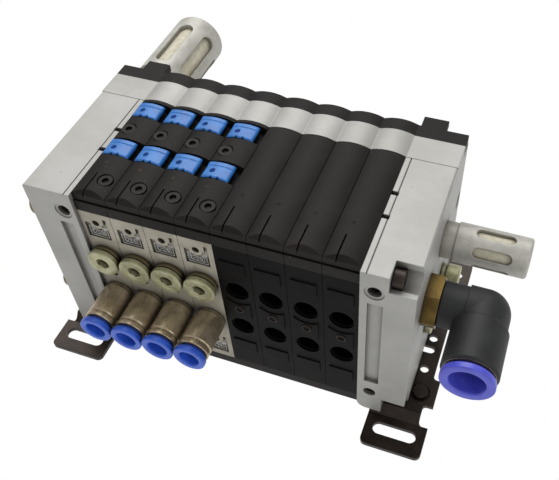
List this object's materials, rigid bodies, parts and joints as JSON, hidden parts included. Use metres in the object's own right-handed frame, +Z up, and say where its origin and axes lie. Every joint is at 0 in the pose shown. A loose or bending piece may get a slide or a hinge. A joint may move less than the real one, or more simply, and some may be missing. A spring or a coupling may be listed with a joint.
{
  "type": "pneumatic valve island",
  "caption": "Row of valve slices between two end plates on slotted wall brackets, with override caps, push-in fittings, plugs, an elbow and silencers.",
  "frame": {"origin": "centre of the four wall slots, on the plane the bracket feet stand on", "axes": "+X along the row of slices, from the valve slices to the blank ones; +Y to the rear, away from the work ports; +Z up, out of the covers"},
  "size_m": [0.1962, 0.1469, 0.0981],
  "materials": {
    "cast_plate": "fine satin silver paint",
    "rail_silver": "fine satin silver paint",
    "cream_plastic": "matt, slightly yellowed",
    "black_plastic": "fine grained, slight gloss",
    "blue_cap": "satin",
    "blue_ring": "satin",
    "nickel": "aged nickel plating",
    "zinc": "passivated zinc",
    "steel": "dull",
    "black_steel": "dark dip coating",
    "brass": "dull",
    "cast_silver": "as cast",
    "rubber_seal": "black rubber",
    "felt": "pressed felt"
  },
  "bodies": {
    "island": {"left_end_plate": "cast_plate", "right_end_plate": "cast_plate", "left_bracket": "black_steel", "right_bracket": "black_steel", "bracket_screws": "steel", "tie_rods": "steel", "floor_plate": "black_plastic", "rear_rail": "rail_silver", "rear_strip": "black_plastic", "side_plugs": "zinc", "cover_screws": "steel", "elbow_stud": "brass", "pilot_silencer_cage": "cast_silver", "pilot_silencer_felt": "felt", "exhaust_silencer_cage": "cast_silver", "exhaust_silencer_felt": "felt", "tube_seals": "rubber_seal", "valve_body_1": "cream_plastic", "valve_cover_1": "black_plastic", "blank_body_1": "black_plastic", "blank_cover_1": "black_plastic", "port_plug_1": "zinc", "straight_fitting_1": "nickel", "valve_body_2": "cream_plastic", "valve_cover_2": "black_plastic", "blank_body_2": "black_plastic", "blank_cover_2": "black_plastic", "port_plug_2": "zinc", "straight_fitting_2": "nickel", "valve_body_3": "cream_plastic", "valve_cover_3": "black_plastic", "blank_body_3": "black_plastic", "blank_cover_3": "black_plastic", "port_plug_3": "zinc", "straight_fitting_3": "nickel", "valve_body_4": "cream_plastic", "valve_cover_4": "black_plastic", "blank_body_4": "black_plastic", "blank_cover_4": "black_plastic", "port_plug_4": "zinc", "straight_fitting_4": "nickel"},
    "front_cap_1": {"front_cap_1": "blue_cap"},
    "rear_cap_1": {"rear_cap_1": "blue_cap"},
    "release_ring_1": {"release_ring_1": "blue_ring"},
    "valve_spool_1": {"valve_spool_1": "steel"},
    "front_cap_2": {"front_cap_2": "blue_cap"},
    "rear_cap_2": {"rear_cap_2": "blue_cap"},
    "release_ring_2": {"release_ring_2": "blue_ring"},
    "valve_spool_2": {"valve_spool_2": "steel"},
    "front_cap_3": {"front_cap_3": "blue_cap"},
    "rear_cap_3": {"rear_cap_3": "blue_cap"},
    "release_ring_3": {"release_ring_3": "blue_ring"},
    "valve_spool_3": {"valve_spool_3": "steel"},
    "front_cap_4": {"front_cap_4": "blue_cap"},
    "rear_cap_4": {"rear_cap_4": "blue_cap"},
    "release_ring_4": {"release_ring_4": "blue_ring"},
    "valve_spool_4": {"valve_spool_4": "steel"},
    "elbow": {"elbow_body": "black_plastic", "elbow_tube_seal": "rubber_seal"},
    "elbow_release_ring": {"elbow_release_ring": "blue_ring"}
  },
  "joints": [
    {"name": "front_cap_press_1", "type": "slide", "parent": "island", "child": "front_cap_1", "axis": [0, 0, -1], "range_m": [0, 0.0009], "stiffness_N_per_m": 600},
    {"name": "rear_cap_press_1", "type": "slide", "parent": "island", "child": "rear_cap_1", "axis": [0, 0, -1], "range_m": [0, 0.0009], "stiffness_N_per_m": 600},
    {"name": "ring_press_1", "type": "slide", "parent": "island", "child": "release_ring_1", "axis": [0, 1, 0], "range_m": [0, 0.0012], "stiffness_N_per_m": 500},
    {"name": "spool_shift_1", "type": "slide", "parent": "island", "child": "valve_spool_1", "axis": [0, 1, 0], "range_m": [-0.0015, 0.0015]},
    {"name": "front_cap_press_2", "type": "slide", "parent": "island", "child": "front_cap_2", "axis": [0, 0, -1], "range_m": [0, 0.0009], "stiffness_N_per_m": 600},
    {"name": "rear_cap_press_2", "type": "slide", "parent": "island", "child": "rear_cap_2", "axis": [0, 0, -1], "range_m": [0, 0.0009], "stiffness_N_per_m": 600},
    {"name": "ring_press_2", "type": "slide", "parent": "island", "child": "release_ring_2", "axis": [0, 1, 0], "range_m": [0, 0.0012], "stiffness_N_per_m": 500},
    {"name": "spool_shift_2", "type": "slide", "parent": "island", "child": "valve_spool_2", "axis": [0, 1, 0], "range_m": [-0.0015, 0.0015]},
    {"name": "front_cap_press_3", "type": "slide", "parent": "island", "child": "front_cap_3", "axis": [0, 0, -1], "range_m": [0, 0.0009], "stiffness_N_per_m": 600},
    {"name": "rear_cap_press_3", "type": "slide", "parent": "island", "child": "rear_cap_3", "axis": [0, 0, -1], "range_m": [0, 0.0009], "stiffness_N_per_m": 600},
    {"name": "ring_press_3", "type": "slide", "parent": "island", "child": "release_ring_3", "axis": [0, 1, 0], "range_m": [0, 0.0012], "stiffness_N_per_m": 500},
    {"name": "spool_shift_3", "type": "slide", "parent": "island", "child": "valve_spool_3", "axis": [0, 1, 0], "range_m": [-0.0015, 0.0015]},
    {"name": "front_cap_press_4", "type": "slide", "parent": "island", "child": "front_cap_4", "axis": [0, 0, -1], "range_m": [0, 0.0009], "stiffness_N_per_m": 600},
    {"name": "rear_cap_press_4", "type": "slide", "parent": "island", "child": "rear_cap_4", "axis": [0, 0, -1], "range_m": [0, 0.0009], "stiffness_N_per_m": 600},
    {"name": "ring_press_4", "type": "slide", "parent": "island", "child": "release_ring_4", "axis": [0, 1, 0], "range_m": [0, 0.0012], "stiffness_N_per_m": 500},
    {"name": "spool_shift_4", "type": "slide", "parent": "island", "child": "valve_spool_4", "axis": [0, 1, 0], "range_m": [-0.0015, 0.0015]},
    {"name": "elbow_swivel", "type": "hinge", "parent": "island", "child": "elbow", "pos_m": [0.08, -0.0194, 0.0626], "axis": [1, 0, 0], "range_deg": [-110, 110]},
    {"name": "elbow_ring_press", "type": "slide", "parent": "elbow", "child": "elbow_release_ring", "axis": [0, 1, 0], "range_m": [0, 0.0012], "stiffness_N_per_m": 600}
  ]
}
